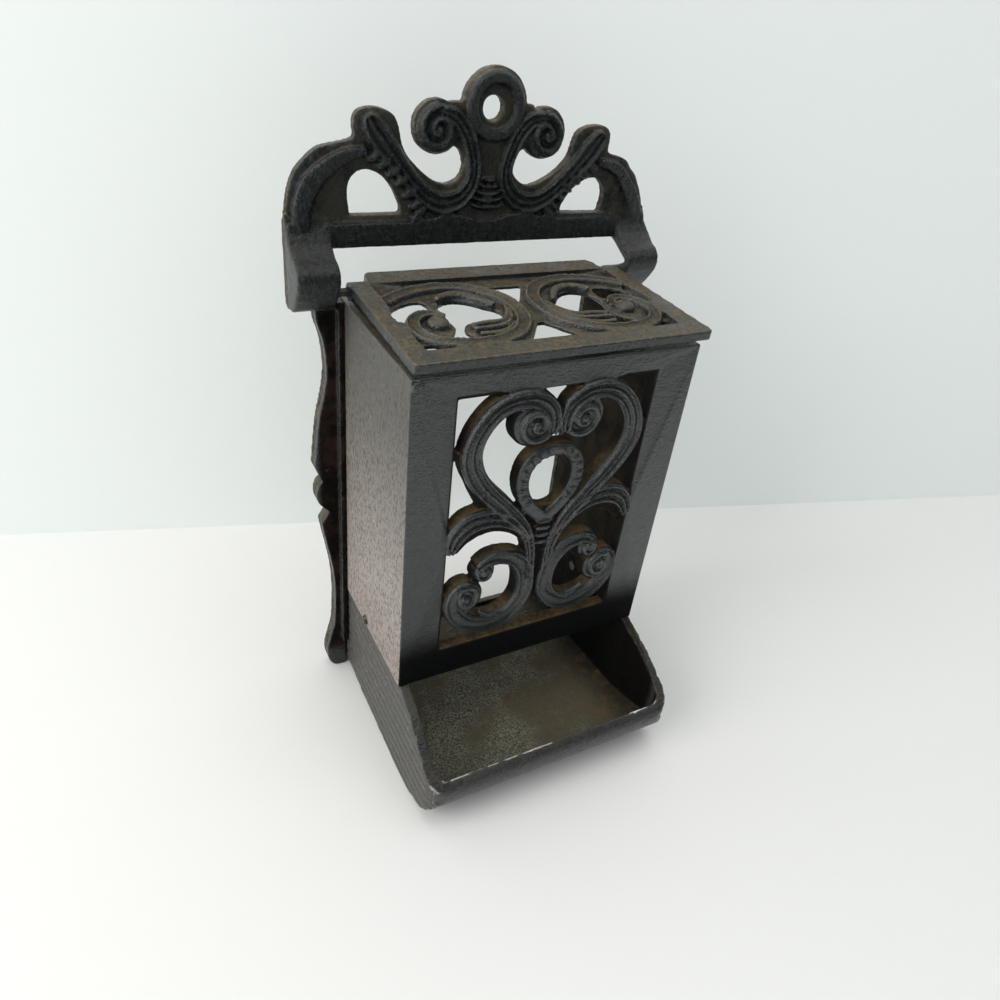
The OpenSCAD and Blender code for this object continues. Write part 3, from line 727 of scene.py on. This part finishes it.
# %% Castings
# node, piece, body, voxel, swell, most faces, material, slot, face, region in mm, scrollwork
CASTINGS = [
    ("back_casting", "back_iron", "frame", 0.00034, 0.00022, 195000, back_iron, "dark_iron", CREST,
        ((-50, 7.2), (50, 50)), crest_scrollwork),
    ("box_shell", "front_and_sides", "frame", 0.00032, 0.00001, 198000, front_iron, "front_iron", PANEL,
        ((-26.4, 9.6), (26.4, 83.2)), front_scrollwork),
    ("tray", "scoop_tray", "frame", 0.00034, 0.00016, 190000, tray_iron, "worn_iron", None, None, None),
    ("lid", "pierced_lid", "lid", 0.0003, 0.00012, 190000, lid_iron, "worn_iron", LID,
        ((-33.5, -35.4), (33.5, -0.9)), lid_scrollwork),
]


def on_ears(p):
    return abs(p.x) > 39.5 and 119 < p.z < 140.5 and p.y < 34


def trim_shoulder(piece):
    for v in piece.data.vertices:
        rise = (v.co.z - BAR_Z) / MM
        if rise > 2 and v.co.x > 0:
            v.co.x = min(v.co.x, (50.35 - 2.4 * min(1, rise / 15) - 0.04 * rise) * MM)


REED, TOP_GROOVE, GROOVE_DEPTH = 0.00345, 0.032825, 0.0004


def deepen_reeds(piece):
    outward = [v.normal.x * math.copysign(1, v.co.x) for v in piece.data.vertices]
    for v, out in zip(piece.data.vertices, outward):
        if abs(v.co.x) > 0.0366 and out > 0.4:
            groove = 0.5 + 0.5 * math.cos(2 * math.pi * (TOP_GROOVE - v.co.z) / REED)
            v.co.x -= math.copysign(GROOVE_DEPTH * groove**4, v.co.x)


for node, name, body, voxel, swell, most, material, slot, face, region, scrollwork in CASTINGS:
    piece = copy_of(node, name)
    if scrollwork:
        press_flat(piece, face, *region, -0.6)
        piece = join(piece, *scrollwork())
    if node == "back_casting":
        trim_shoulder(piece)
    cast(piece, voxel, swell)
    if node == "back_casting":
        soften(piece, on_ears, 14)
    if node == "tray":
        deepen_reeds(piece)
    thin_out(piece, most)
    piece.data.materials.append(material)
    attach(piece, body)
    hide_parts(node)

# %% Rod and rivets keep their CAD shape
for node in ("hinge_rod", "tray_rivet_left", "tray_rivet_right"):
    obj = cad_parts[node]
    for s in obj.material_slots:
        s.material = steel
    print(obj.name, "is", steel.name)

# %% [markdown]
# ## Table, wall and light
#
# The holder stands on a white table with a pale wall close behind, in broad soft daylight
# that comes from the left and from above.


# %% Stage
def plain(name, colour, roughness):
    f = Finish(name)
    f.set(Base_Color=colour, Roughness=roughness)
    return f.material


def sheet_of(name, corners, material):
    mesh = bpy.data.meshes.new(name)
    mesh.from_pydata(corners, [], [range(len(corners))])
    mesh.materials.append(material)
    obj = bpy.data.objects.new(name, mesh)
    scene.collection.objects.link(obj)
    obj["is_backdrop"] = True
    return obj


REACH = 3
table_corners = [(-REACH, -REACH, 0), (REACH, -REACH, 0), (REACH, REACH, 0), (-REACH, REACH, 0)]
sheet_of("table", table_corners, plain("white table", srgb(232, 231, 228), 0.5))
wall_foot = Vector((-0.0949, 0.1292, 0))
wall_run = Vector((0.3256, -0.09, 0)).normalized() * REACH
wall_corners = [wall_foot - wall_run, wall_foot + wall_run]
wall_corners += [c + Vector((0, 0, REACH)) for c in reversed(wall_corners)]
sheet_of("wall", wall_corners, plain("pale wall", srgb(238, 243, 240), 0.9))

world = bpy.data.worlds.new("room")
world.use_nodes = True
world.node_tree.nodes["Background"].inputs["Color"].default_value = (0.93, 0.96, 1.0, 1)
world.node_tree.nodes["Background"].inputs["Strength"].default_value = 0.66
scene.world = world


def lamp(name, place, aim, size, power, colour=(1, 1, 1)):
    data = bpy.data.lights.new(name, "AREA")
    data.shape = "SQUARE"
    data.size = size
    data.energy = power
    data.color = colour
    obj = bpy.data.objects.new(name, data)
    obj.location = place
    obj.rotation_euler = (Vector(aim) - Vector(place)).to_track_quat("-Z", "Y").to_euler()
    scene.collection.objects.link(obj)


lamp("window", (-0.9, -0.1, 0.6), (0, 0, 0.08), 0.7, 7.0, (1, 0.98, 0.95))
lamp("ceiling", (0.1, -0.1, 1.2), (0, 0, 0.08), 0.8, 3.2)

# %% [markdown]
# Black gloss shows what it mirrors. A dark card in front, seen only in reflections, stands
# for the dim side of the room and keeps the upright crest black.

# %% Dark card
card = sheet_of("dark_card", [(-1.2, -0.42, 0), (1.6, -0.42, 0), (1.6, -0.42, 0.9), (-1.2, -0.42, 0.9)],
    plain("dim room", srgb(40, 42, 42), 0.9))
card.visible_camera = card.visible_diffuse = card.visible_shadow = False

# %% Sizes and finish
sizes = [[list(map(float, corner)) for corner in b] for b in (cad_box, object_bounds())]
